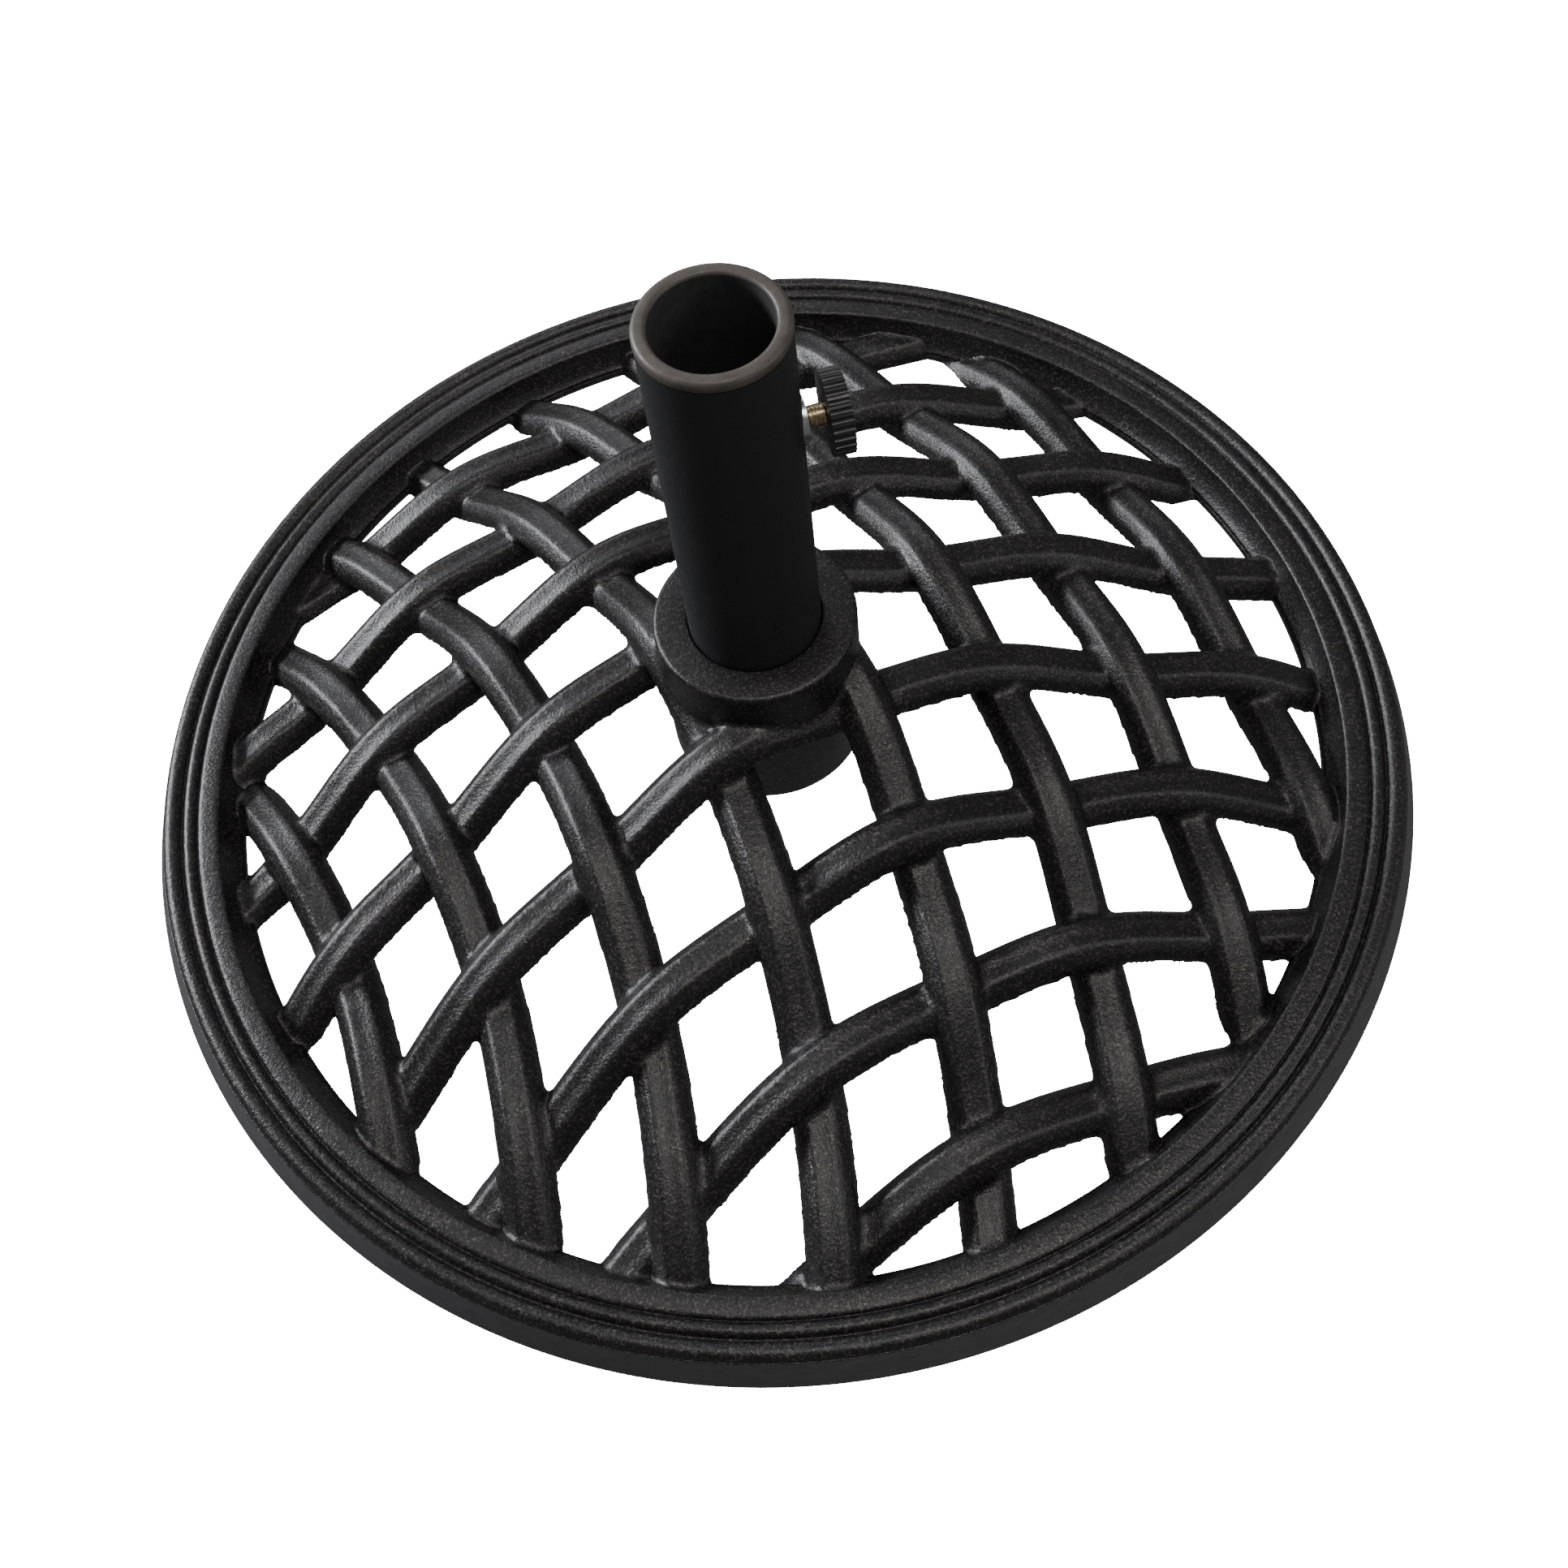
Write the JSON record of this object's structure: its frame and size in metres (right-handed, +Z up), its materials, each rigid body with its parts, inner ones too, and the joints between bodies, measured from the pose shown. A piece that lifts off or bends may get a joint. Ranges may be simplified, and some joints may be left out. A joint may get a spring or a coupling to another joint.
{
  "type": "umbrella stand",
  "caption": "Round cast umbrella stand: woven lattice dome, central tube with lining sleeve, and a thumbscrew that clamps the pole.",
  "frame": {"origin": "on the tube's axis, at floor level, under the rubber feet", "axes": "+Z up along the tube's axis, +X from the axis towards the thumbscrew, +Y by the right-hand rule"},
  "size_m": [0.5, 0.5, 0.252],
  "materials": {
    "cast_iron_black": "black textured powder coat with a fine bronze fleck",
    "tube_black": "matt black powder coat",
    "plain_steel": "bare turned steel",
    "zinc_steel": "zinc plated",
    "taupe_plastic": "matt moulded",
    "yellow_zinc": "yellow zinc plated",
    "black_plastic": "satin moulded",
    "natural_nylon": "satin moulded",
    "black_rubber": "matt"
  },
  "bodies": {
    "stand": {"base_casting": "cast_iron_black", "pole_tube": "tube_black", "tube_end_plug": "plain_steel", "clamp_bolt": "zinc_steel", "clamp_lock_washer": "zinc_steel", "clamp_washer": "zinc_steel", "rivet_nut": "zinc_steel", "rubber_foot_1": "black_rubber", "rubber_foot_2": "black_rubber", "rubber_foot_3": "black_rubber", "rubber_foot_4": "black_rubber", "rubber_foot_5": "black_rubber", "rubber_foot_6": "black_rubber"},
    "sleeve": {"pole_sleeve": "taupe_plastic"},
    "screw_pad": {"thumbscrew_tip": "natural_nylon"},
    "thumbscrew": {"thumbscrew_stud": "yellow_zinc", "thumbscrew_knob": "black_plastic"}
  },
  "joints": [
    {"name": "sleeve_lift", "type": "slide", "parent": "stand", "child": "sleeve", "axis": [0, 0, 1], "range_m": [0, 0.07]},
    {"name": "screw_travel", "type": "slide", "parent": "stand", "child": "screw_pad", "axis": [1, 0, 0], "range_m": [-0.00505, 0.00255]},
    {"name": "thumbscrew_turn", "type": "hinge", "parent": "screw_pad", "child": "thumbscrew", "pos_m": [0.03, 0, 0.2005], "axis": [1, 0, 0], "range_deg": [-1440, 720]}
  ],
  "couplings": [
    {"joint": "screw_travel", "follows": "thumbscrew_turn", "m_per_rad": 0.00019894}
  ]
}
